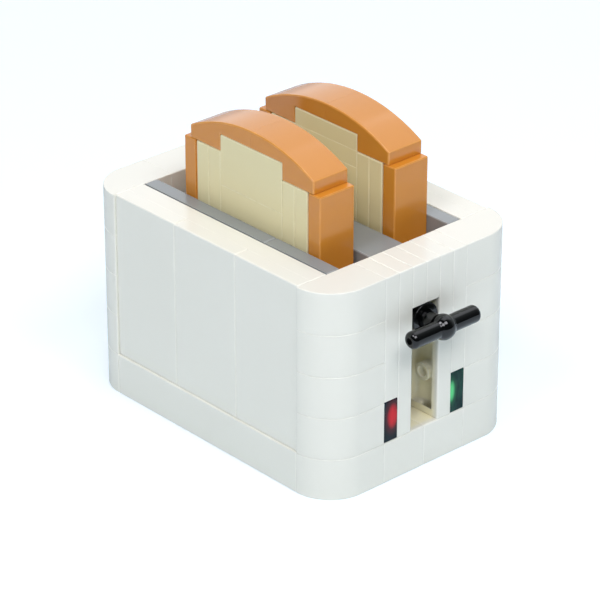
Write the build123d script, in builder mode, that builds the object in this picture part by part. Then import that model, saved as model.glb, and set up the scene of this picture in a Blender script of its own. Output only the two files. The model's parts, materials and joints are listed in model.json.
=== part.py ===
from build123d import *
import os

# A toy toaster built from toy bricks, most of them lying on their sides.
# Millimetres. X runs across the toaster, the lever is at -Y, +Z is up.
# The origin is on the table, at the middle of the whole model's footprint.

# The brick system
pitch = 8.0  # from one stud to the next, and the height of one sideways layer
plate = 3.2  # thickness of a plate or tile
brick = 9.6  # height of a brick
play = 0.05  # each piece stops this far short of its module on every side but top and underside
wall = 1.4  # side wall of a hollow piece
roof = 1.2  # closed end of a hollow piece
stud_diameter = 4.8
stud_height = 1.7
pin_diameter = 3.2  # of the pins under a narrow plate, and of the bars
post_diameter = 6.5  # of the posts under a wide tile
edge_break = 0.15  # chamfer on the pieces' edges
groove = 0.35  # width and depth of the groove round a tile's underside
seam = 0.05  # between stacked pieces of one colour
slide = 0.2  # clearance of what slides

# The housing
layers = 5  # sideways layers, the base layer included
well_length_studs = 6  # along Y
well_width_studs = 4  # along X
corner_height = 13.2  # of a corner brick, from its underside to its outer face
rail_thickness = 3.6  # of the base rails, which stand out past the tiles above them
tile_count = 3  # side tiles along each long wall, and floor tiles
short_strip_studs = 2  # of the rim strip nearer to the lever, the other one fills the rest

# The lever and its carriage
travel = 12.6  # of the deck, down to just above the floor
handle_z = 29.0
handle_reach = 4.2  # from the front face to the axis of the handle's bar
handle_length = 16.0
handle_bar = 3.2
handle_ball = 4.6
end_hole = 1.3
end_hole_depth = 1.2
end_round = 0.6  # chamfer round the bar's ends
boss_diameter = 5.8
arm_low = 24.2  # underside of the arm in the lever slot
arm_foot = 16.0  # length of the arm's foot on the deck
arm_top_length = 10.0  # from the inside of the end wall to the end of the arm's flat top

# The bread
slice_thickness = pitch - 2 * play
spare_studs = 2  # of a slot's length that the arched crust piece leaves free
crumb_pairs = 2  # plates on edge at each side of the centre stack
crust_height = 6.4  # at the crown of the arch
crust_end = 2.4  # height of the crust's straight end
left_slice_gap = 0.2  # between the left slice and its rim strip
right_slice_gap = 0.05  # the right one stands closer to its own
slice_shift = 1.2  # of both slices off the middle, towards the lever

# Places worked out from those
layer_height = pitch - 2 * play
well_half_x = well_width_studs * pitch / 2
well_half_y = well_length_studs * pitch / 2
end_y = well_half_y + pitch / 2  # middle of an end wall
face_y = well_half_y + pitch - play  # outer face of an end wall
slot_half = plate
body_y = (handle_reach + handle_ball / 2) / 2
top_layer_z = (layers - 1) * pitch
upper_layers = layers - 1
column_studs = upper_layers
deck_rest = plate + slide + travel  # underside of the deck, lever up
deck_top = deck_rest + plate
tile_studs = well_length_studs / tile_count
post_count = round(2 * well_half_x / pitch) - 1  # in a row across a floor tile
crust_half = (well_length_studs - spare_studs) * pitch / 2
crumb_half = crust_half - plate / 2
crumb_plate = (crumb_half - pitch) / crumb_pairs
strip_x = well_half_x - plate  # face of a rim strip, towards the slice
slice_y = body_y - slice_shift
bar_y = well_half_y - plate
bar_z = top_layer_z - pin_diameter / 2

os.makedirs("parts", exist_ok=True)


def layer_z(layer, count=1):
    """Middle height of a piece on its side that fills some layers, counted from the base layer."""
    return (layer + count / 2) * pitch - play


def standing(side, x, y, z):
    """Underside of a piece on its side whose top points out along X and whose length stands up."""
    return Plane(origin=(side * x, body_y + y, z), x_dir=(0, 0, 1), z_dir=(side, 0, 0))


def lying(side, x, y, z):
    """Underside of a piece on its side whose top points out along X and whose length lies along Y."""
    return Plane(origin=(side * x, body_y + y, z), x_dir=(0, 1, 0), z_dir=(side, 0, 0))


def plain(underside, along, across, thickness):
    """A sharp-edged plate of a number of studs, standing on the plane of its underside."""
    with BuildPart() as piece:
        with BuildSketch(underside):
            Rectangle(along * pitch - 2 * play, across * pitch - 2 * play)
        extrude(amount=thickness)
    return piece.part


def block(underside, along, across, thickness):
    """A closed brick or plate with broken edges."""
    with BuildPart() as piece:
        add(plain(underside, along, across, thickness))
        chamfer(piece.edges(), edge_break)
    return piece.part


def tile(underside, along, across, thickness):
    """A tile, with the groove that runs round its underside."""
    with BuildPart() as piece:
        add(block(underside, along, across, thickness))
        with BuildSketch(underside):
            Rectangle(along * pitch - 2 * play, across * pitch - 2 * play)
            step = play + groove
            Rectangle(along * pitch - 2 * step, across * pitch - 2 * step, mode=Mode.SUBTRACT)
        extrude(amount=groove, mode=Mode.SUBTRACT)
    return piece.part


def hollow(underside, along, across, thickness):
    """The same piece with its open underside."""
    with BuildPart() as piece:
        add(block(underside, along, across, thickness))
        with BuildSketch(underside):
            Rectangle(along * pitch - 2 * (play + wall), across * pitch - 2 * (play + wall))
        extrude(amount=thickness - roof, mode=Mode.SUBTRACT)
    return piece.part


def studded(underside, along, across, thickness):
    """A hollow piece with its studs."""
    with BuildPart() as piece:
        add(hollow(underside, along, across, thickness))
        with BuildSketch(underside.offset(thickness)):
            with GridLocations(pitch, pitch, along, across):
                Circle(stud_diameter / 2)
        extrude(amount=stud_height)
    return piece.part


def posts(underside, along, across, diameter, thickness):
    """The posts between the studs' places, from the open underside up into the roof."""
    with BuildPart() as group:
        with BuildSketch(underside):
            with GridLocations(pitch, pitch, along, across):
                Circle(diameter / 2)
        extrude(amount=thickness - roof / 2)
    return group.part


def corner_stack(side, end):
    """Five corner bricks, one on each layer. The front ones are hollow where the front wall's studs go in."""
    inner_x = brick
    outer_x = inner_x + corner_height
    inner_y = well_half_y + play
    with BuildPart() as stack:
        for layer in range(layers):
            with BuildSketch(Plane(origin=(0, body_y, layer * pitch))):
                with BuildLine():
                    Line((side * inner_x, end * face_y), (side * inner_x, end * inner_y))
                    Line((side * inner_x, end * inner_y), (side * outer_x, end * inner_y))
                    TangentArc(
                        (side * outer_x, end * inner_y),
                        (side * (outer_x - layer_height), end * face_y),
                        tangent=(0, end),
                    )
                    Line((side * (outer_x - layer_height), end * face_y), (side * inner_x, end * face_y))
                make_face()
            extrude(amount=layer_height)
        if end < 0:
            for layer in range(1, layers):
                with BuildSketch(standing(side, inner_x, end * end_y, layer_z(layer))):
                    Rectangle(layer_height - 2 * wall, layer_height - 2 * wall)
                extrude(amount=corner_height - layer_height / 2, mode=Mode.SUBTRACT)
    return stack.part


# Base layer

with BuildPart() as base_bricks_left:
    for end in (-1, 1):
        add(hollow(standing(-1, 0, end * end_y, layer_z(0)), 1, 1, brick))
base_bricks_left.part.label = "base_bricks_left"
export_step(base_bricks_left.part, "parts/base_bricks_left.step")

with BuildPart() as base_bricks_right:
    for end in (-1, 1):
        add(hollow(standing(1, 0, end * end_y, layer_z(0)), 1, 1, brick))
base_bricks_right.part.label = "base_bricks_right"
export_step(base_bricks_right.part, "parts/base_bricks_right.step")

with BuildPart() as base_rails:
    for side in (-1, 1):
        add(block(lying(side, well_half_x + plate, 0, layer_z(0)), well_length_studs, 1, rail_thickness))
base_rails.part.label = "base_rails"
export_step(base_rails.part, "parts/base_rails.step")

with BuildPart() as base_liners:
    for side in (-1, 1):
        add(plain(lying(side, well_half_x, 0, layer_z(0)), well_length_studs, 1, plate))
base_liners.part.label = "base_liners"
export_step(base_liners.part, "parts/base_liners.step")

with BuildPart() as floor_tiles:
    for place in GridLocations(0, tile_studs * pitch, 1, tile_count).locations:
        table = Plane(origin=(0, body_y + place.position.Y, 0))
        add(hollow(table, well_width_studs, tile_studs, plate))
        add(posts(table, post_count, 1, post_diameter, plate))
floor_tiles.part.label = "floor_tiles"
export_step(floor_tiles.part, "parts/floor_tiles.step")

# Corners

corner_front_left = corner_stack(-1, -1)
corner_front_left.label = "corner_front_left"
export_step(corner_front_left, "parts/corner_front_left.step")

corner_front_right = corner_stack(1, -1)
corner_front_right.label = "corner_front_right"
export_step(corner_front_right, "parts/corner_front_right.step")

corner_back_left = corner_stack(-1, 1)
corner_back_left.label = "corner_back_left"
export_step(corner_back_left, "parts/corner_back_left.step")

corner_back_right = corner_stack(1, 1)
corner_back_right.label = "corner_back_right"
export_step(corner_back_right, "parts/corner_back_right.step")

# Front wall, from the lever slot outwards

with BuildPart() as front_inner_plates:
    for side in (-1, 1):
        underside = standing(side, slot_half, -end_y, layer_z(1, column_studs))
        add(studded(underside, column_studs, 1, plate))
        add(posts(underside, column_studs - 1, 1, pin_diameter, plate))
front_inner_plates.part.label = "front_inner_plates"
export_step(front_inner_plates.part, "parts/front_inner_plates.step")

with BuildPart() as front_outer_plates:
    for side in (-1, 1):
        underside = standing(side, slot_half + plate, -end_y, layer_z(2, column_studs - 1))
        add(studded(underside, column_studs - 1, 1, plate))
front_outer_plates.part.label = "front_outer_plates"
export_step(front_outer_plates.part, "parts/front_outer_plates.step")

with BuildPart() as window_red:
    add(studded(standing(-1, slot_half + plate, -end_y, layer_z(1)), 1, 1, plate))
window_red.part.label = "window_red"
export_step(window_red.part, "parts/window_red.step")

with BuildPart() as window_green:
    add(studded(standing(1, slot_half + plate, -end_y, layer_z(1)), 1, 1, plate))
window_green.part.label = "window_green"
export_step(window_green.part, "parts/window_green.step")

with BuildPart() as lintel_left:
    add(studded(standing(-1, 0, -end_y, layer_z(layers - 1)), 1, 1, plate))
lintel_left.part.label = "lintel_left"
export_step(lintel_left.part, "parts/lintel_left.step")

with BuildPart() as lintel_right:
    add(studded(standing(1, 0, -end_y, layer_z(layers - 1)), 1, 1, plate))
lintel_right.part.label = "lintel_right"
export_step(lintel_right.part, "parts/lintel_right.step")

# Back wall

with BuildPart() as back_brick_left:
    add(hollow(standing(-1, 0, end_y, layer_z(1, column_studs)), column_studs, 1, brick))
back_brick_left.part.label = "back_brick_left"
export_step(back_brick_left.part, "parts/back_brick_left.step")

with BuildPart() as back_brick_right:
    add(hollow(standing(1, 0, end_y, layer_z(1, column_studs)), column_studs, 1, brick))
back_brick_right.part.label = "back_brick_right"
export_step(back_brick_right.part, "parts/back_brick_right.step")

# Side walls


def side_tiles(side):
    """The smooth tiles that stand in a row along one long wall."""
    with BuildPart() as tiles:
        for place in GridLocations(0, tile_studs * pitch, 1, tile_count).locations:
            foot = standing(side, well_half_x + plate, place.position.Y, layer_z(1, upper_layers))
            add(tile(foot, upper_layers, tile_studs, plate))
    return tiles.part


side_tiles_left = side_tiles(-1)
side_tiles_left.label = "side_tiles_left"
export_step(side_tiles_left, "parts/side_tiles_left.step")

side_tiles_right = side_tiles(1)
side_tiles_right.label = "side_tiles_right"
export_step(side_tiles_right, "parts/side_tiles_right.step")

with BuildPart() as wall_liner_left:
    add(plain(standing(-1, well_half_x, 0, layer_z(1, upper_layers)), upper_layers, well_length_studs, plate))
wall_liner_left.part.label = "wall_liner_left"
export_step(wall_liner_left.part, "parts/wall_liner_left.step")

with BuildPart() as wall_liner_right:
    add(plain(standing(1, well_half_x, 0, layer_z(1, upper_layers)), upper_layers, well_length_studs, plate))
wall_liner_right.part.label = "wall_liner_right"
export_step(wall_liner_right.part, "parts/wall_liner_right.step")

with BuildPart() as rim_strips:
    for side in (-1, 1):
        for end, studs in ((-1, short_strip_studs), (1, well_length_studs - short_strip_studs)):
            middle = end * (well_half_y - studs * pitch / 2)
            add(tile(lying(-side, -well_half_x, middle, layer_z(layers - 1)), studs, 1, plate))
rim_strips.part.label = "rim_strips"
export_step(rim_strips.part, "parts/rim_strips.step")

# Divider between the bread slots, and the bars that carry it

divider_foot = Plane(origin=(0, body_y, top_layer_z))

with BuildPart() as divider_plate:
    add(hollow(divider_foot, 1, well_length_studs, plate))
divider_plate.part.label = "divider_plate"
export_step(divider_plate.part, "parts/divider_plate.step")

with BuildPart() as divider_tile:
    add(tile(divider_foot.offset(plate), 1, well_length_studs, plate))
divider_tile.part.label = "divider_tile"
export_step(divider_tile.part, "parts/divider_tile.step")

with BuildPart() as divider_bars:
    for end in (-1, 1):
        with BuildSketch(Plane(origin=(0, body_y + end * bar_y, bar_z), z_dir=(1, 0, 0))):
            Circle(pin_diameter / 2)
        extrude(amount=well_half_x, both=True)
divider_bars.part.label = "divider_bars"
export_step(divider_bars.part, "parts/divider_bars.step")

# Carriage and lever, in the raised place

with BuildPart() as carriage_deck:
    with BuildSketch(Plane(origin=(0, body_y, deck_rest))):
        Rectangle(2 * (well_half_x - slide), 2 * (well_half_y - slide))
    extrude(amount=plate)
    chamfer(carriage_deck.edges(), edge_break)
    with BuildSketch(Plane(origin=(0, body_y, deck_rest))):
        Rectangle(2 * (well_half_x - slide - wall), 2 * (well_half_y - slide - wall))
    extrude(amount=plate - roof, mode=Mode.SUBTRACT)
carriage_deck.part.label = "carriage_deck"
export_step(carriage_deck.part, "parts/carriage_deck.step")

arm_front = -(face_y - plate)
arm_inside = -(well_half_y - slide)
arm_top = top_layer_z - 2 * slide
bar_front = -(bar_y + pin_diameter / 2) - 2 * slide
bar_under = bar_z - pin_diameter / 2 - 2 * slide

with BuildPart() as carriage_arm:
    with BuildSketch(Plane(origin=(0, body_y, 0), x_dir=(0, 1, 0), z_dir=(1, 0, 0))):
        Polygon(
            (arm_front, arm_low),
            (arm_inside, arm_low),
            (arm_inside, deck_top),
            (arm_inside + arm_foot, deck_top),
            (arm_inside + arm_top_length, bar_under),
            (bar_front, bar_under),
            (bar_front, arm_top),
            (arm_front, arm_top),
            align=None,
        )
    extrude(amount=slot_half - slide, both=True)
    chamfer(carriage_arm.edges(), edge_break)
carriage_arm.part.label = "carriage_arm"
export_step(carriage_arm.part, "parts/carriage_arm.step")

front = Plane(origin=(0, body_y - face_y, handle_z), x_dir=(1, 0, 0), z_dir=(0, -1, 0))
handle_y = body_y - face_y - handle_reach

with BuildPart() as lever_boss:
    with BuildSketch(front.offset(-plate)):
        Circle(boss_diameter / 2)
    extrude(amount=plate)
    with BuildSketch(front.offset(-plate)):
        Circle((handle_bar + slide) / 2)
    extrude(amount=plate, mode=Mode.SUBTRACT)
lever_boss.part.label = "lever_boss"
export_step(lever_boss.part, "parts/lever_boss.step")

with BuildPart() as lever_handle:
    with BuildSketch(Plane(origin=(0, handle_y, handle_z), x_dir=(1, 0, 0), z_dir=(0, -1, 0))):
        with BuildLine():
            tip = handle_length / 2
            ball_end = ((handle_ball / 2) ** 2 - (handle_bar / 2) ** 2) ** 0.5
            ThreePointArc((-ball_end, handle_bar / 2), (0, handle_ball / 2), (ball_end, handle_bar / 2))
            for side in (-1, 1):
                Polyline(
                    (side * ball_end, handle_bar / 2),
                    (side * (tip - end_round), handle_bar / 2),
                    (side * tip, handle_bar / 2 - end_round),
                    (side * tip, end_hole / 2),
                    (side * (tip - end_hole_depth), end_hole / 2),
                    (side * (tip - end_hole_depth), 0),
                    (0, 0),
                )
        make_face()
    revolve(axis=Axis((0, handle_y, handle_z), (1, 0, 0)))
    with BuildSketch(front.offset(-plate)):
        Circle(handle_bar / 2)
    extrude(amount=plate + handle_reach)
lever_handle.part.label = "lever_handle"
export_step(lever_handle.part, "parts/lever_handle.step")

# The two slices of bread: a crust arch on top, crust tiles at the ends, and the crumb between them

left_stand = Plane(origin=(left_slice_gap + slice_thickness / 2 - strip_x, slice_y, deck_top))
right_stand = Plane(origin=(strip_x - right_slice_gap - slice_thickness / 2, slice_y, deck_top))


def slice_end(stand, end, y, z):
    """Underside of a slice's piece whose top points out towards that end and whose length stands up."""
    return Plane(origin=stand.from_local_coords((0, end * y, z)), x_dir=stand.z_dir, z_dir=stand.y_dir * end)


def crust(stand):
    """The two arched pieces on top, which meet at the crown, with a notch over the centre stack."""
    foot = stand.offset(column_studs * pitch)
    with BuildPart() as arch:
        with BuildSketch(Plane(origin=foot.origin, x_dir=stand.y_dir, z_dir=stand.x_dir)):
            with BuildLine():
                tip = crust_half - play
                Polyline((pitch, 0), (tip, 0), (tip, crust_end))
                ThreePointArc((tip, crust_end), (0, crust_height), (-tip, crust_end))
                Polyline((-tip, crust_end), (-tip, 0), (-pitch, 0))
                Polyline((-pitch, 0), (-pitch, plate), (pitch, plate), (pitch, 0))
            make_face()
        extrude(amount=slice_thickness / 2, both=True)
        chamfer(arch.faces().filter_by(Axis(foot.origin, stand.x_dir)).edges(), edge_break)
        with BuildSketch(foot):
            Rectangle(slice_thickness, 2 * play)
        extrude(amount=crust_height, mode=Mode.SUBTRACT)
    return arch.part


def crust_tiles(stand):
    """The tile that stands at each end of a slice."""
    with BuildPart() as tiles:
        for end in (-1, 1):
            add(tile(slice_end(stand, end, crumb_half, layer_z(0, column_studs)), column_studs, 1, plate))
    return tiles.part


def crumb_plates(stand):
    """Plates on edge at each side of the centre stack."""
    with BuildPart() as plates:
        for end in (-1, 1):
            for step in range(crumb_pairs):
                foot = slice_end(stand, end, pitch + step * crumb_plate, layer_z(0, column_studs))
                add(block(foot, column_studs, 1, crumb_plate - seam))
    return plates.part


def crumb_stack(stand, heights):
    """The centre stack of bricks and plates, from the bottom up."""
    with BuildPart() as stack:
        z = 0
        for step in heights:
            add(plain(stand.offset(z), 1, 2, step - seam))
            z += step
        chamfer(stack.faces().sort_by(Axis.Z)[-1].edges(), edge_break)
    return stack.part


left_crust = crust(left_stand)
left_crust.label = "left_crust"
export_step(left_crust, "parts/left_crust.step")

left_crust_tiles = crust_tiles(left_stand)
left_crust_tiles.label = "left_crust_tiles"
export_step(left_crust_tiles, "parts/left_crust_tiles.step")

left_crumb_plates = crumb_plates(left_stand)
left_crumb_plates.label = "left_crumb_plates"
export_step(left_crumb_plates, "parts/left_crumb_plates.step")

left_crumb_stack = crumb_stack(left_stand, (plate, plate, brick, brick, brick))
left_crumb_stack.label = "left_crumb_stack"
export_step(left_crumb_stack, "parts/left_crumb_stack.step")

right_crust = crust(right_stand)
right_crust.label = "right_crust"
export_step(right_crust, "parts/right_crust.step")

right_crust_tiles = crust_tiles(right_stand)
right_crust_tiles.label = "right_crust_tiles"
export_step(right_crust_tiles, "parts/right_crust_tiles.step")

right_crumb_plates = crumb_plates(right_stand)
right_crumb_plates.label = "right_crumb_plates"
export_step(right_crumb_plates, "parts/right_crumb_plates.step")

right_crumb_stack = crumb_stack(right_stand, (brick, brick, brick, plate, plate))
right_crumb_stack.label = "right_crumb_stack"
export_step(right_crumb_stack, "parts/right_crumb_stack.step")
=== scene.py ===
import bmesh
import bpy
import json
import math
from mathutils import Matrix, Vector


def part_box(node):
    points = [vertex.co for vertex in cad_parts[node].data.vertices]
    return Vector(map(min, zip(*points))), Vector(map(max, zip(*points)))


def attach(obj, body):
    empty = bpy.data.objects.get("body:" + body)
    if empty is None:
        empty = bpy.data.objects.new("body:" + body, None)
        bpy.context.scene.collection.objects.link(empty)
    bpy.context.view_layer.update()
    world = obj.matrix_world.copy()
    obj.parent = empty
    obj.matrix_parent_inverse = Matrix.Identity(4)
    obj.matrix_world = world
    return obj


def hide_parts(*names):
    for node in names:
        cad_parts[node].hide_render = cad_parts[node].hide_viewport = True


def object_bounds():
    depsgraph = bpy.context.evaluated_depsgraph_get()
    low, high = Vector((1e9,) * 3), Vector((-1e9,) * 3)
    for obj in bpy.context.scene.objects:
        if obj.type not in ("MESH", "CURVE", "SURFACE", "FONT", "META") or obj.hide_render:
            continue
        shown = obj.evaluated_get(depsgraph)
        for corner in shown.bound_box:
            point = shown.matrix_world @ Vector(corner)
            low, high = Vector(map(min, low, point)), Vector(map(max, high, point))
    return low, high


# A toy toaster of sideways plastic bricks. Metres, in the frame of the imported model.

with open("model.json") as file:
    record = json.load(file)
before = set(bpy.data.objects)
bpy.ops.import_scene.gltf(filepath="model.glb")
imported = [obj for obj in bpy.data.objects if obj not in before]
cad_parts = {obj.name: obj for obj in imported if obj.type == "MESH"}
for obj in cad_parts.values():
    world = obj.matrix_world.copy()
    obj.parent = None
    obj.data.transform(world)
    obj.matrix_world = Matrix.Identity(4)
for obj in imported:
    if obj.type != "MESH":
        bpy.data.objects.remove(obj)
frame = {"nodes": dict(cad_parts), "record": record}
cad_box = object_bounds()
body_of = {node: body for body, nodes in frame["record"]["behaviour"]["bodies"].items() for node in nodes}
slot_of = {part["node"]: part["material_slot"] for part in frame["record"]["subparts"]}

MM = 0.001


def corners(node):
    """The lowest and the highest corner of a CAD node."""
    low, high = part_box(node)
    return Vector(low), Vector(high)


tiles_low, tiles_high = corners("side_tiles_left")
body_y = (tiles_low.y + tiles_high.y) / 2  # middle of the housing
front_y = corners("front_inner_plates")[0].y
recess_top = corners("lintel_left")[0].z  # of the lever's slot


# Shader maths


class Value:
    """A socket of one shader. Sums and products of values add its Math nodes."""

    def __init__(self, shader, socket):
        self.shader = shader
        self.socket = socket

    def math(self, operation, first, second):
        return self.shader.node("Math", {"operation": operation}, {0: first, 1: second})

    def __add__(self, other):
        return self.math("ADD", self, other)

    def __radd__(self, other):
        return self.math("ADD", other, self)

    def __sub__(self, other):
        return self.math("SUBTRACT", self, other)

    def __rsub__(self, other):
        return self.math("SUBTRACT", other, self)

    def __mul__(self, other):
        return self.math("MULTIPLY", self, other)

    def __rmul__(self, other):
        return self.math("MULTIPLY", other, self)

    def or_more(self, other):
        """The larger of two values."""
        return self.math("MAXIMUM", self, other)

    def above(self, edge, softness):
        """0 below the edge, 1 above it, with a soft step between."""
        settings = {"interpolation_type": "SMOOTHSTEP"}
        sockets = {"Value": self, "From Min": edge - softness, "From Max": edge + softness}
        return self.shader.node("MapRange", settings, sockets)


class Shader:
    """One material and its nodes."""

    def __init__(self, name):
        self.material = bpy.data.materials.new(name)
        self.material.use_nodes = True
        self.tree = self.material.node_tree
        self.tree.nodes.clear()
        self.surface = self.tree.nodes.new("ShaderNodeBsdfPrincipled")
        self.output = self.tree.nodes.new("ShaderNodeOutputMaterial")
        self.tree.links.new(self.surface.outputs[0], self.output.inputs["Surface"])
        self.place = self.node("TexCoord", {}, {}, output="Object")

    def feed(self, socket, value):
        """Gives a socket a link or a plain value."""
        if isinstance(value, Value):
            self.tree.links.new(value.socket, socket)
        else:
            socket.default_value = value

    def node(self, kind, settings, sockets, output=0):
        """Adds a node with its settings and the values or links of its sockets, and gives one output."""
        made = self.tree.nodes.new("ShaderNode" + kind)
        for name, setting in settings.items():
            setattr(made, name, setting)
        for name, value in sockets.items():
            self.feed(made.inputs[name], value)
        return Value(self, made.outputs[output])

    def noise(self, size, detail=2.0, roughness=0.5, stretch=(1, 1, 1), turn=(0, 0, 0)):
        """Noise whose patches are about that size across."""
        sockets = {"Vector": self.place, "Scale": stretch, "Rotation": turn}
        place = self.node("Mapping", {}, sockets)
        sockets = {"Vector": place, "Scale": 1 / size, "Detail": detail, "Roughness": roughness}
        return self.node("TexNoise", {}, sockets)

    def mix(self, share, first, second):
        """A colour between two colours."""
        settings = {"data_type": "RGBA", "blend_type": "MIX"}
        return self.node("Mix", settings, {0: share, 6: first, 7: second}, output=2)

    def edges(self, width):
        """1 on the crest of an outer edge, falling to 0 that far into the faces beside it."""
        softened = self.node("Bevel", {"samples": 4}, {"Radius": width})
        flat = self.node("NewGeometry", {}, {}, output="True Normal")
        settings = {"operation": "DOT_PRODUCT"}
        likeness = self.node("VectorMath", settings, {0: softened, 1: flat}, output="Value")
        return (1 - likeness).above(0.12, softness=0.11)

    def rounding(self):
        """1 on a piece's rounded edges and 0 on its faces, from the mesh."""
        return self.node("Attribute", {"attribute_name": "rounding"}, {}, output="Fac")

    def axis(self, letter):
        """One coordinate of the place on the piece."""
        return self.node("SeparateXYZ", {}, {0: self.place}, output=letter)

    def bump(self, height, strength, distance):
        return self.node("Bump", {}, {"Height": height, "Strength": strength, "Distance": distance})

    def finish(self, **sockets):
        """Feeds the surface's sockets, whose names are written with _ for each space."""
        for name, value in sockets.items():
            self.feed(self.surface.inputs[name.replace("_", " ")], value)
        return self.material


# Plastics


FLOW_MARK = 12 * MM  # across one flow mark of the moulding
CLOUD = 28 * MM  # across one patch of a slightly other tone
SMUDGE = 5 * MM
PEEL = 1.8 * MM  # across one dimple of the moulded skin
GRAIN = 0.3 * MM
PEEL_DEPTH = 0.012 * MM
WORN_PATCH = 3 * MM
WORN_EDGE = 0.32 * MM  # how far the wear of an edge reaches into the faces beside it
UPRIGHT = (1, 1, 0.35)  # draws a pattern out in height
HAIRLINES = (  # size, stretch and turn of the fine scratches in two directions
    (1.4 * MM, (0.05, 1, 1), (0.3, 0.5, 0.9)),
    (1.6 * MM, (1, 0.04, 1), (1.1, 0.2, 0.4)),
)
MOULDED_IOR = 1.53
FLOW_DULLS = 0.03  # the most that each kind of mark adds to the roughness
SMUDGE_DULLS = 0.03
SCRATCH_DULLS = 0.012
WEAR_DULLS = 0.14
PAINTED_EDGE_HIGHLIGHT = 0.4  # share of the pale colour painted on every rounded edge as a highlight
PATCH_PALES = 0.3  # and how much more of it where the edge is worn
WEAR_PALES = 0.4


def hairlines(shader):
    """1 on the fine scratches of a handled toy."""
    one, other = (
        shader.noise(size, detail=1, stretch=stretch, turn=turn).above(0.7, softness=0.02)
        for size, stretch, turn in HAIRLINES
    )
    return one + other


def moulded(name, light, dark, worn_and_highlight, gloss, peel, shine=0.5, painted_recess_colour=None):
    """Glossy moulded plastic: faint flow marks, orange peel, hairlines, pale wear along the edges, a
    painted highlight on every rounded edge and, where given, painted warm light in the lever's slot.
    """
    shader = Shader(name)
    flow = shader.noise(FLOW_MARK, detail=3, stretch=UPRIGHT)
    cloud = shader.noise(CLOUD)
    smudge = shader.noise(SMUDGE, detail=4, roughness=0.6).above(0.58, softness=0.14)
    scratches = hairlines(shader)
    skin = shader.noise(PEEL)
    grain = shader.noise(GRAIN, detail=1)
    patches = shader.noise(WORN_PATCH, detail=4, roughness=0.6).above(0.5, softness=0.16)
    wear = shader.edges(WORN_EDGE) * patches
    tone = shader.mix(flow * 0.5 + cloud * 0.5, (*dark, 1), (*light, 1))
    # Painted warm light: inside the lever's slot the tone turns creamy and lighter.
    if painted_recess_colour:
        tone = shader.mix(painted_recess_light(shader), tone, (*painted_recess_colour, 1))
    # Painted highlight: every rounded edge takes a share of the pale colour, more where the edge is worn.
    edge_highlight_and_wear = shader.rounding() * (patches * PATCH_PALES + PAINTED_EDGE_HIGHLIGHT)
    dull = flow * FLOW_DULLS + smudge * SMUDGE_DULLS + scratches * SCRATCH_DULLS + wear * WEAR_DULLS
    return shader.finish(
        Base_Color=shader.mix(edge_highlight_and_wear.or_more(wear * WEAR_PALES), tone, (*worn_and_highlight, 1)),
        Roughness=gloss + dull,
        Normal=shader.bump(skin * peel + grain * (peel * 0.05), strength=0.3, distance=PEEL_DEPTH),
        IOR=MOULDED_IOR,
        Specular_IOR_Level=shine,
    )


RECESS_HALF = 7 * MM  # half the width of the lever's slot with the hollows beside it
RECESS_DEPTH = 8.5 * MM  # from the front face
RECESS_FADE = 0.3 * MM  # how softly the painted warm light ends at the back and at the top
PAINTED_LIGHT_START = 0.9 * MM  # how far behind the front face the painted warm light begins
PAINTED_LIGHT_START_FADE = 0.8 * MM


def painted_recess_light(shader):
    """1 on the inner faces of the lever's slot, where warm light is painted, and 0 outside it."""
    x = shader.axis("X")
    y = shader.axis("Y")
    sideways = 1 - (x * x * (1 / RECESS_HALF**2)).above(1.0, softness=0.12)
    past_face = y.above(front_y + PAINTED_LIGHT_START, softness=PAINTED_LIGHT_START_FADE)
    past_back = y.above(front_y + RECESS_DEPTH, softness=RECESS_FADE)
    below = 1 - shader.axis("Z").above(recess_top + RECESS_FADE, softness=RECESS_FADE)
    return sideways * (past_face - past_back) * below


def white_plastic():
    """White plastic, with warm, creamy light painted inside the lever's slot."""
    return moulded(
        "white_plastic",
        light=(0.905, 0.893, 0.80),
        dark=(0.88, 0.865, 0.765),
        worn_and_highlight=(0.97, 0.955, 0.86),
        gloss=0.2,
        peel=0.5,
        shine=0.4,
        painted_recess_colour=(0.98, 0.92, 0.66),
    )


def grey_plastic():
    return moulded(
        "grey_plastic",
        light=(0.315, 0.335, 0.335),
        dark=(0.27, 0.29, 0.29),
        worn_and_highlight=(0.38, 0.40, 0.40),
        gloss=0.2,
        peel=0.5,
    )


def black_plastic():
    return moulded(
        "black_plastic",
        light=(0.0016, 0.002, 0.002),
        dark=(0.0008, 0.001, 0.001),
        worn_and_highlight=(0.012, 0.012, 0.013),
        gloss=0.05,
        peel=0.3,
    )


def crust_plastic():
    return moulded(
        "crust_plastic",
        light=(0.71, 0.28, 0.033),
        dark=(0.65, 0.24, 0.023),
        worn_and_highlight=(0.82, 0.37, 0.08),
        gloss=0.14,
        peel=0.6,
        shine=0.65,
    )


def crumb_plastic():
    return moulded(
        "crumb_plastic",
        light=(0.86, 0.77, 0.46),
        dark=(0.81, 0.715, 0.41),
        worn_and_highlight=(0.93, 0.86, 0.60),
        gloss=0.2,
        peel=0.5,
        shine=0.4,
    )


STREAK = 1.3 * MM  # across one streak in clear plastic
CLEAR_PEEL = 1.2 * MM
CLEAR_PATCH = 2 * MM
CLEAR_EDGE = 0.2 * MM
CLEAR_PEEL_DEPTH = 0.01 * MM
CLEAR_IOR = 1.54
PAINTED_GLOW_REACH = 0.6  # where the painted glow has half faded, in its own half widths squared
PAINTED_HALO_REACH = 1.5
PAINTED_HALO = 0.14  # brightness of the painted halo round the painted glow, as a share of the glow's own
RAGGED = 0.7  # how much the streaks move the painted glow's outline


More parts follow.
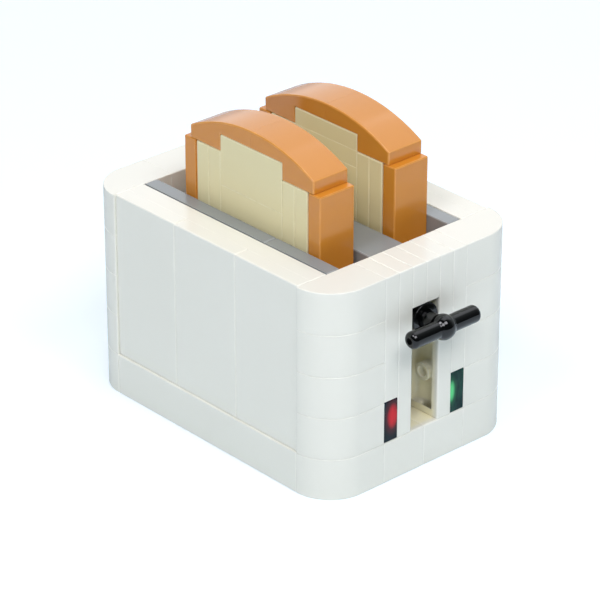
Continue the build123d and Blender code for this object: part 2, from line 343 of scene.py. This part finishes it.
def window_plastic(name, painted_dark_tint, clear, painted_glow_colour, painted_glow_x, painted_glow_z, half_width, half_height):
    """Clear coloured plastic, painted nearly dark with teal tints for the shaded inside and the mirrored
    surroundings, and a painted glow: a soft emitting oval at one side in place of the lit stud behind it.
    """
    shader = Shader(name)
    streak = shader.noise(STREAK, detail=3, stretch=UPRIGHT)
    skin = shader.noise(CLEAR_PEEL, detail=1)
    wear = shader.edges(CLEAR_EDGE) * shader.noise(CLEAR_PATCH, detail=3).above(0.5, softness=0.2)
    across = (shader.axis("X") - painted_glow_x) * (1 / half_width)
    up = (shader.axis("Z") - painted_glow_z) * (1 / half_height)
    reach = across * across + up * up + streak * RAGGED - RAGGED / 2
    glow = 1 - reach.above(PAINTED_GLOW_REACH, softness=PAINTED_GLOW_REACH)
    painted_halo = 1 - reach.above(PAINTED_HALO_REACH, softness=PAINTED_HALO_REACH)
    painted_halo_colour = tuple(channel * PAINTED_HALO for channel in painted_glow_colour)
    return shader.finish(
        # Painted shade and reflection: dark, teal-tinted base colours, the streaks' one too, in place of
        # the shaded inside and the mirrored surroundings.
        Base_Color=shader.mix(streak.above(0.52, softness=0.2), (*painted_dark_tint, 1), (*clear, 1)),
        Roughness=0.04 + streak * 0.04 + wear * 0.2,
        Normal=shader.bump(skin, strength=0.2, distance=CLEAR_PEEL_DEPTH),
        # Painted glow: an emitting oval and its faint halo stand in for the lit stud behind the window.
        Emission_Color=shader.mix(glow, shader.mix(painted_halo, (0, 0, 0, 1), (*painted_halo_colour, 1)), (*painted_glow_colour, 1)),
        Emission_Strength=1.0,
        IOR=CLEAR_IOR,
        Specular_IOR_Level=0.1,
    )


def red_window():
    return window_plastic(
        "red_window",
        painted_dark_tint=(0.012, 0.028, 0.034),
        clear=(0.022, 0.024, 0.030),
        painted_glow_colour=(0.52, 0.005, 0.010),
        painted_glow_x=-7.65 * MM,
        painted_glow_z=corners("window_red")[1].z - 3.1 * MM,
        half_width=1.3 * MM,
        half_height=2.5 * MM,
    )


def green_window():
    return window_plastic(
        "green_window",
        painted_dark_tint=(0.008, 0.030, 0.032),
        clear=(0.020, 0.080, 0.058),
        painted_glow_colour=(0.09, 0.56, 0.20),
        painted_glow_x=6.5 * MM,
        painted_glow_z=corners("window_green")[1].z - 3.6 * MM,
        half_width=0.95 * MM,
        half_height=2.2 * MM,
    )


materials = {
    "white_plastic": white_plastic(),
    "grey_plastic": grey_plastic(),
    "black_plastic": black_plastic(),
    "crust_plastic": crust_plastic(),
    "crumb_plastic": crumb_plastic(),
    "red_window": red_window(),
    "green_window": green_window(),
}


# Moulded pieces


EDGE = 0.17 * MM  # rounding of each moulded edge
EDGE_STEPS = 2
SHARP = math.radians(25)  # edges sharper than this are rounded
FLAT = math.radians(0.4)  # faces within this of each other lie in one plane
LOOSE = 0.0005 * MM  # points nearer than this are one
SNUG = Vector((0.04, 0.04, 0.04)) * MM  # pressed-together pieces are this much fuller on every side
SNUG_OF = {
    "white_plastic": Vector((0.065, 0.065, 0.065)) * MM,
    "grey_plastic": Vector((0, 0.04, 0.04)) * MM,  # across, the strips stay clear of the slices
}
OUTSIDE = Vector((0.03, 0.03, 0.03)) * MM  # but the outside of a body grows no more than this
SLIDING_BODIES = ("carriage",)  # whose pieces keep their clearance
TURNED_NODES = ("lever_handle",)  # made apart, below


def piece_from(work, name, material):
    """A finished piece from a bmesh, smooth, with its place in its mesh."""
    for face in work.faces:
        face.smooth = True
    mesh = bpy.data.meshes.new(name)
    work.to_mesh(mesh)
    work.free()
    mesh.materials.append(material)
    piece = bpy.data.objects.new(name, mesh)
    bpy.context.scene.collection.objects.link(piece)
    weighted = piece.modifiers.new("weighted_normals", "WEIGHTED_NORMAL")
    weighted.keep_sharp = True
    return piece


def merged(node):
    """The CAD node's shape as one merged mesh with whole flat faces."""
    work = bmesh.new()
    work.from_mesh(frame["nodes"][node].data)
    bmesh.ops.remove_doubles(work, verts=work.verts, dist=LOOSE)
    bmesh.ops.dissolve_limit(work, angle_limit=FLAT, verts=work.verts, edges=work.edges)
    return work


def outer_box(body):
    """The box that a body's pieces stay within. It goes no lower than the CAD model does."""
    boxes = [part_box(node) for node in body_of if body_of[node] == body]
    low = Vector([min(box[0][i] for box in boxes) for i in range(3)]) - OUTSIDE
    high = Vector([max(box[1][i] for box in boxes) for i in range(3)]) + OUTSIDE
    low.z = max(low.z, cad_box[0][2])
    return low, high


def fill_out(work, amount, within):
    """Moves every face out by the amount, so that pieces pressed together leave only a shallow joint."""
    work.normal_update()
    steps = [(vert, vert.normal * vert.calc_shell_factor()) for vert in work.verts]
    for vert, step in steps:
        place = [at + a * b for at, a, b in zip(vert.co, step, amount)]
        vert.co = [min(max(at, low), high) for at, low, high in zip(place, *within)]


def sharp_edges(edges):
    return [e for e in edges if e.is_manifold and e.is_convex and e.calc_face_angle(0) > SHARP]


def round_edges(work, kept=lambda work: ()):
    """Rounds the sharp outer edges, apart from the ones that are kept."""
    left_out = set(kept(work))
    sharp = [e for e in sharp_edges(work.edges) if e not in left_out]
    rounding = work.faces.layers.float.new("rounding")
    made = bmesh.ops.bevel(
        work,
        geom=sharp,
        affect="EDGES",
        offset=EDGE,
        offset_type="OFFSET",
        segments=EDGE_STEPS,
        profile=0.5,
        clamp_overlap=True,
        material=-1,
    )
    for face in made["faces"]:
        face[rounding] = 1
    for e in sharp_edges(kept(work)):
        e.smooth = False


PIN_RADIUS = 1.6 * MM
PIN_BORE = 1.05 * MM
PIN_BORE_DEPTH = 2.2 * MM
PIN_FACETED = 0.03  # how far the area of a pin's faceted end may be from a circle's
SIDEWAYS = 0.99  # least X of the normal of a face that points sideways


def is_pin_end(face):
    """Whether a face points sideways and is as large as a pin's end."""
    share = face.calc_area() / (math.pi * PIN_RADIUS**2)
    return abs(face.normal.x) > SIDEWAYS and abs(share - 1) < PIN_FACETED


def bore_pins(work):
    """The blind bore in the end of each pin under the slot's plates."""
    ends = [face for face in work.faces if is_pin_end(face)]
    rim = PIN_RADIUS - PIN_BORE
    bmesh.ops.inset_individual(work, faces=ends, thickness=rim, depth=0, use_even_offset=True)
    for end in bmesh.ops.extrude_discrete_faces(work, faces=ends)["faces"]:
        bmesh.ops.translate(work, verts=end.verts, vec=-end.normal * PIN_BORE_DEPTH)


CROWN = 0.2 * MM  # how near to the crown an edge of the joint lies


def crown_edges(work):
    """The edges where the two halves of a crust meet. They stay sharp, so the joint is a hair's width."""
    low, high = (pick(vert.co.y for vert in work.verts) for pick in (min, max))
    middle = (low + high) / 2
    return [e for e in work.edges if all(abs(vert.co.y - middle) < CROWN for vert in e.verts)]


LINER_REACH = 0.36 * MM


def reach_into_groove(work):
    """The wall liners bulge into the groove behind the side tiles, so that the rim shows one smooth top."""
    outer = max(abs(vert.co.x) for vert in work.verts)
    for vert in work.verts:
        if abs(vert.co.x) > outer - LOOSE:
            vert.co.x += math.copysign(LINER_REACH, vert.co.x)


def make_moulded(node, slot):
    """The piece that stands for a CAD node, with a moulded piece's edges."""
    work = merged(node)
    if node == "front_inner_plates":
        bore_pins(work)
    if node.startswith("wall_liner"):
        reach_into_groove(work)
    if body_of[node] not in SLIDING_BODIES:
        fill_out(work, SNUG_OF.get(slot, SNUG), outer_box(body_of[node]))
    if node.endswith("_crust"):
        round_edges(work, crown_edges)
    else:
        round_edges(work)
    piece = piece_from(work, node + "_moulded", materials[slot])
    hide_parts(node)
    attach(piece, body_of[node])


for node, slot in slot_of.items():
    if node not in TURNED_NODES:
        make_moulded(node, slot)


# The lever's handle, turned


TURNS = 48  # steps round a turned piece
BAR_RADIUS = 1.6 * MM
BALL_RADIUS = 2.32 * MM
END_ROUND = 0.9 * MM
END_HOLE = 0.62 * MM
END_HOLE_DEPTH = 1.2 * MM
HOLE_LIP = 0.08 * MM
NECK = 0.3 * MM  # radius of the fillet between ball and bar
STEM_ROUND = 0.2 * MM

handle_low, handle_high = corners("lever_handle")
handle_tip = (handle_high.x - handle_low.x) / 2
ball_reach = (handle_high.z - handle_low.z) / 2
handle_axis = Vector((0, handle_low.y + ball_reach, (handle_low.z + handle_high.z) / 2))


def turn(work, profile, centre, axis, across):
    """Spins a profile of (along, radius) points round an axis, into a closed skin."""
    verts = [work.verts.new(centre + axis * along + across * radius) for along, radius in profile]
    edges = [work.edges.new(pair) for pair in zip(verts, verts[1:])]
    bmesh.ops.spin(
        work,
        geom=verts + edges,
        cent=centre,
        axis=axis,
        angle=math.tau,
        steps=TURNS,
        use_merge=True,
    )


def arc(centre, radius, start, end, steps):
    """Points (along, radius) on an arc of a profile, in degrees from the axis's direction."""
    angles = [math.radians(start + (end - start) * i / steps) for i in range(steps + 1)]
    return [(centre[0] + radius * math.cos(a), centre[1] + radius * math.sin(a)) for a in angles]


def close_up(work):
    """Closes a turned skin at its poles, with its faces outwards."""
    bmesh.ops.remove_doubles(work, verts=work.verts, dist=LOOSE)
    bmesh.ops.recalc_face_normals(work, faces=work.faces)


def bar_end():
    """Half of the handle's profile, from the middle of the ball to the bottom of the hole in its end."""
    reach = BALL_RADIUS + NECK
    neck_along = math.sqrt(reach**2 - (BAR_RADIUS + NECK) ** 2)
    meet = math.degrees(math.atan2(BAR_RADIUS + NECK, neck_along))
    points = arc((0, 0), BALL_RADIUS, 90, meet, steps=10)
    points += arc((neck_along, BAR_RADIUS + NECK), NECK, 180 + meet, 270, steps=4)[1:]
    points += arc((handle_tip - END_ROUND, BAR_RADIUS - END_ROUND), END_ROUND, 90, 0, steps=6)
    points += arc((handle_tip - HOLE_LIP, END_HOLE + HOLE_LIP), HOLE_LIP, 0, -90, steps=3)
    points += [(handle_tip - END_HOLE_DEPTH, END_HOLE), (handle_tip - END_HOLE_DEPTH, 0)]
    return points


def stem():
    """The profile of the stem, from the middle of the ball to its rounded end in the boss."""
    end = handle_high.y - handle_axis.y
    rounded = arc((end - STEM_ROUND, BAR_RADIUS - STEM_ROUND), STEM_ROUND, 90, 0, steps=4)
    return [(0, 0), (0, BAR_RADIUS)] + rounded + [(end, 0)]


def make_handle():
    upwards = Vector((0, 0, 1))
    work = bmesh.new()
    for side in (-1, 1):
        turn(work, bar_end(), handle_axis, Vector((side, 0, 0)), upwards)
    turn(work, stem(), handle_axis, Vector((0, 1, 0)), upwards)
    close_up(work)
    handle = piece_from(work, "turned_handle", materials["black_plastic"])
    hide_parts("lever_handle")
    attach(handle, "carriage")


make_handle()


# Camera, at the photograph's angle


VIEW_AZIMUTH = -42.19  # degrees; 0 is in front of the lever
VIEW_ELEVATION = 27.359
VIEW_DISTANCE = 590.63 * MM
VIEW_TARGET = Vector((-0.045 * MM, body_y + 0.1 * MM, 20.284 * MM))
LENS = 198.26
SENSOR = 36


def look(azimuth, elevation):
    """The direction from the object towards a viewer; azimuth 0 is in front of the lever."""
    a = math.radians(azimuth)
    e = math.radians(elevation)
    return Vector((math.sin(a) * math.cos(e), -math.cos(a) * math.cos(e), math.sin(e)))


def set_up(thing, azimuth, elevation, distance):
    """Puts a camera or a lamp into the scene, at that direction and distance from its target."""
    place = VIEW_TARGET + look(azimuth, elevation) * distance
    thing.location = place
    thing.rotation_euler = (place - VIEW_TARGET).to_track_quat("Z", "Y").to_euler()
    bpy.context.scene.collection.objects.link(thing)


def make_camera():
    camera = bpy.data.objects.new("camera", bpy.data.cameras.new("camera"))
    camera.data.lens = LENS
    camera.data.sensor_width = SENSOR
    camera.data.clip_start = 0.05
    camera.data.clip_end = 20
    set_up(camera, VIEW_AZIMUTH, VIEW_ELEVATION, VIEW_DISTANCE)
    bpy.context.scene.camera = camera


make_camera()


# Floor, lamps and world


FLOOR_HALF = 3  # half the side of the floor
FLOOR_FAR = 0.3  # square of the distance at which half of the far glow is reached
FLOOR_NEAR_GLOW = 0.3  # shown to the camera under and round the toaster
FLOOR_FAR_GLOW = 0.6  # and added to it far from the lamps
FLOOR_GLEAM = 0.05  # shown to the toaster's gloss
UNDER = 0.02 * MM  # the floor lies this far under the toaster, so that no two faces coincide
DAYLIGHT = (1.0, 1.0, 1.06)
BACKDROP_AZIMUTH = 138  # the direction that the toaster's gloss shows to the camera
BACKDROP_GLEAM = 0.65  # what the gloss shows of the backdrop, above the room's own
ROOM_GLEAM = 0.05
SKY_LIGHT = 0.18
SKY_WHITE = 1.1  # shown to the camera


def sent_on(shader):
    """1 for the rays that gloss and clear plastic send on to the background."""
    glossy = shader.node("LightPath", {}, {}, output="Is Glossy Ray")
    through = shader.node("LightPath", {}, {}, output="Is Transmission Ray")
    return glossy.or_more(through)


def floor_material():
    """A white sweep that keeps the soft shadow and shows white to the camera, also far from the lamps."""
    shader = Shader("white_floor")
    shader.finish(Base_Color=(0.76, 0.855, 0.915, 1), Roughness=0.9)
    camera_ray = shader.node("LightPath", {}, {}, output="Is Camera Ray")
    x = shader.axis("X")
    y = shader.axis("Y")
    far = (x * x + y * y).above(FLOOR_FAR, softness=FLOOR_FAR)
    strength = camera_ray * (far * FLOOR_FAR_GLOW + FLOOR_NEAR_GLOW) + sent_on(shader) * FLOOR_GLEAM
    glow = shader.node("Emission", {}, {"Color": (1, 1, 1, 1), "Strength": strength})
    both = shader.node("AddShader", {}, {0: Value(shader, shader.surface.outputs[0]), 1: glow})
    shader.tree.links.new(both.socket, shader.output.inputs["Surface"])
    return shader.material


def make_floor():
    work = bmesh.new()
    bmesh.ops.create_grid(work, x_segments=1, y_segments=1, size=FLOOR_HALF)
    mesh = bpy.data.meshes.new("floor")
    work.to_mesh(mesh)
    work.free()
    floor = bpy.data.objects.new("floor", mesh)
    floor.data.materials.append(floor_material())
    floor.location.z = -UNDER
    bpy.context.scene.collection.objects.link(floor)


def softbox(name, azimuth, elevation, distance, size, watts):
    """A square studio lamp that points at the toaster."""
    lamp = bpy.data.objects.new(name, bpy.data.lights.new(name, "AREA"))
    lamp.data.shape = "RECTANGLE"
    lamp.data.size = size
    lamp.data.size_y = size
    lamp.data.energy = watts
    lamp.data.color = DAYLIGHT
    set_up(lamp, azimuth, elevation, distance)


class Sky(Shader):
    """The world and its nodes."""

    def __init__(self, name):
        self.material = bpy.data.worlds.new(name)
        self.material.use_nodes = True
        self.tree = self.material.node_tree
        self.surface = self.tree.nodes["Background"]
        bpy.context.scene.world = self.material


def make_sky():
    """Even daylight on the toaster, white to the camera.

    What its gloss shows is a pale backdrop behind it and a dim room in front.
    """
    sky = Sky("daylight")
    outward = sky.node("TexCoord", {}, {}, output="Generated")
    settings = {"operation": "DOT_PRODUCT"}
    behind = sky.node("VectorMath", settings, {0: outward, 1: look(BACKDROP_AZIMUTH, 0)}, output="Value")
    shown = behind.above(0.25, softness=0.5) * BACKDROP_GLEAM + ROOM_GLEAM
    gloss = sent_on(sky)
    camera_ray = sky.node("LightPath", {}, {}, output="Is Camera Ray")
    lights = 1 - gloss.or_more(camera_ray)
    strength = lights * SKY_LIGHT + gloss * shown + camera_ray * SKY_WHITE
    sky.finish(Color=(0.92, 1.0, 1.04, 1), Strength=strength)


make_floor()
softbox("front_softbox", azimuth=0, elevation=55, distance=0.8, size=0.3, watts=1.85)
softbox("left_softbox", azimuth=-84, elevation=55, distance=0.8, size=0.27, watts=1.8)
softbox("corner_softbox", azimuth=-40, elevation=46, distance=0.8, size=0.3, watts=1.8)
softbox("top_softbox", azimuth=97, elevation=80, distance=1.0, size=0.5, watts=1.0)
softbox("right_softbox", azimuth=97, elevation=50, distance=1.0, size=0.6, watts=0.9)
softbox("back_softbox", azimuth=144, elevation=24, distance=1.0, size=0.95, watts=1.7)
make_sky()

bpy.context.scene.view_settings.view_transform = "Standard"
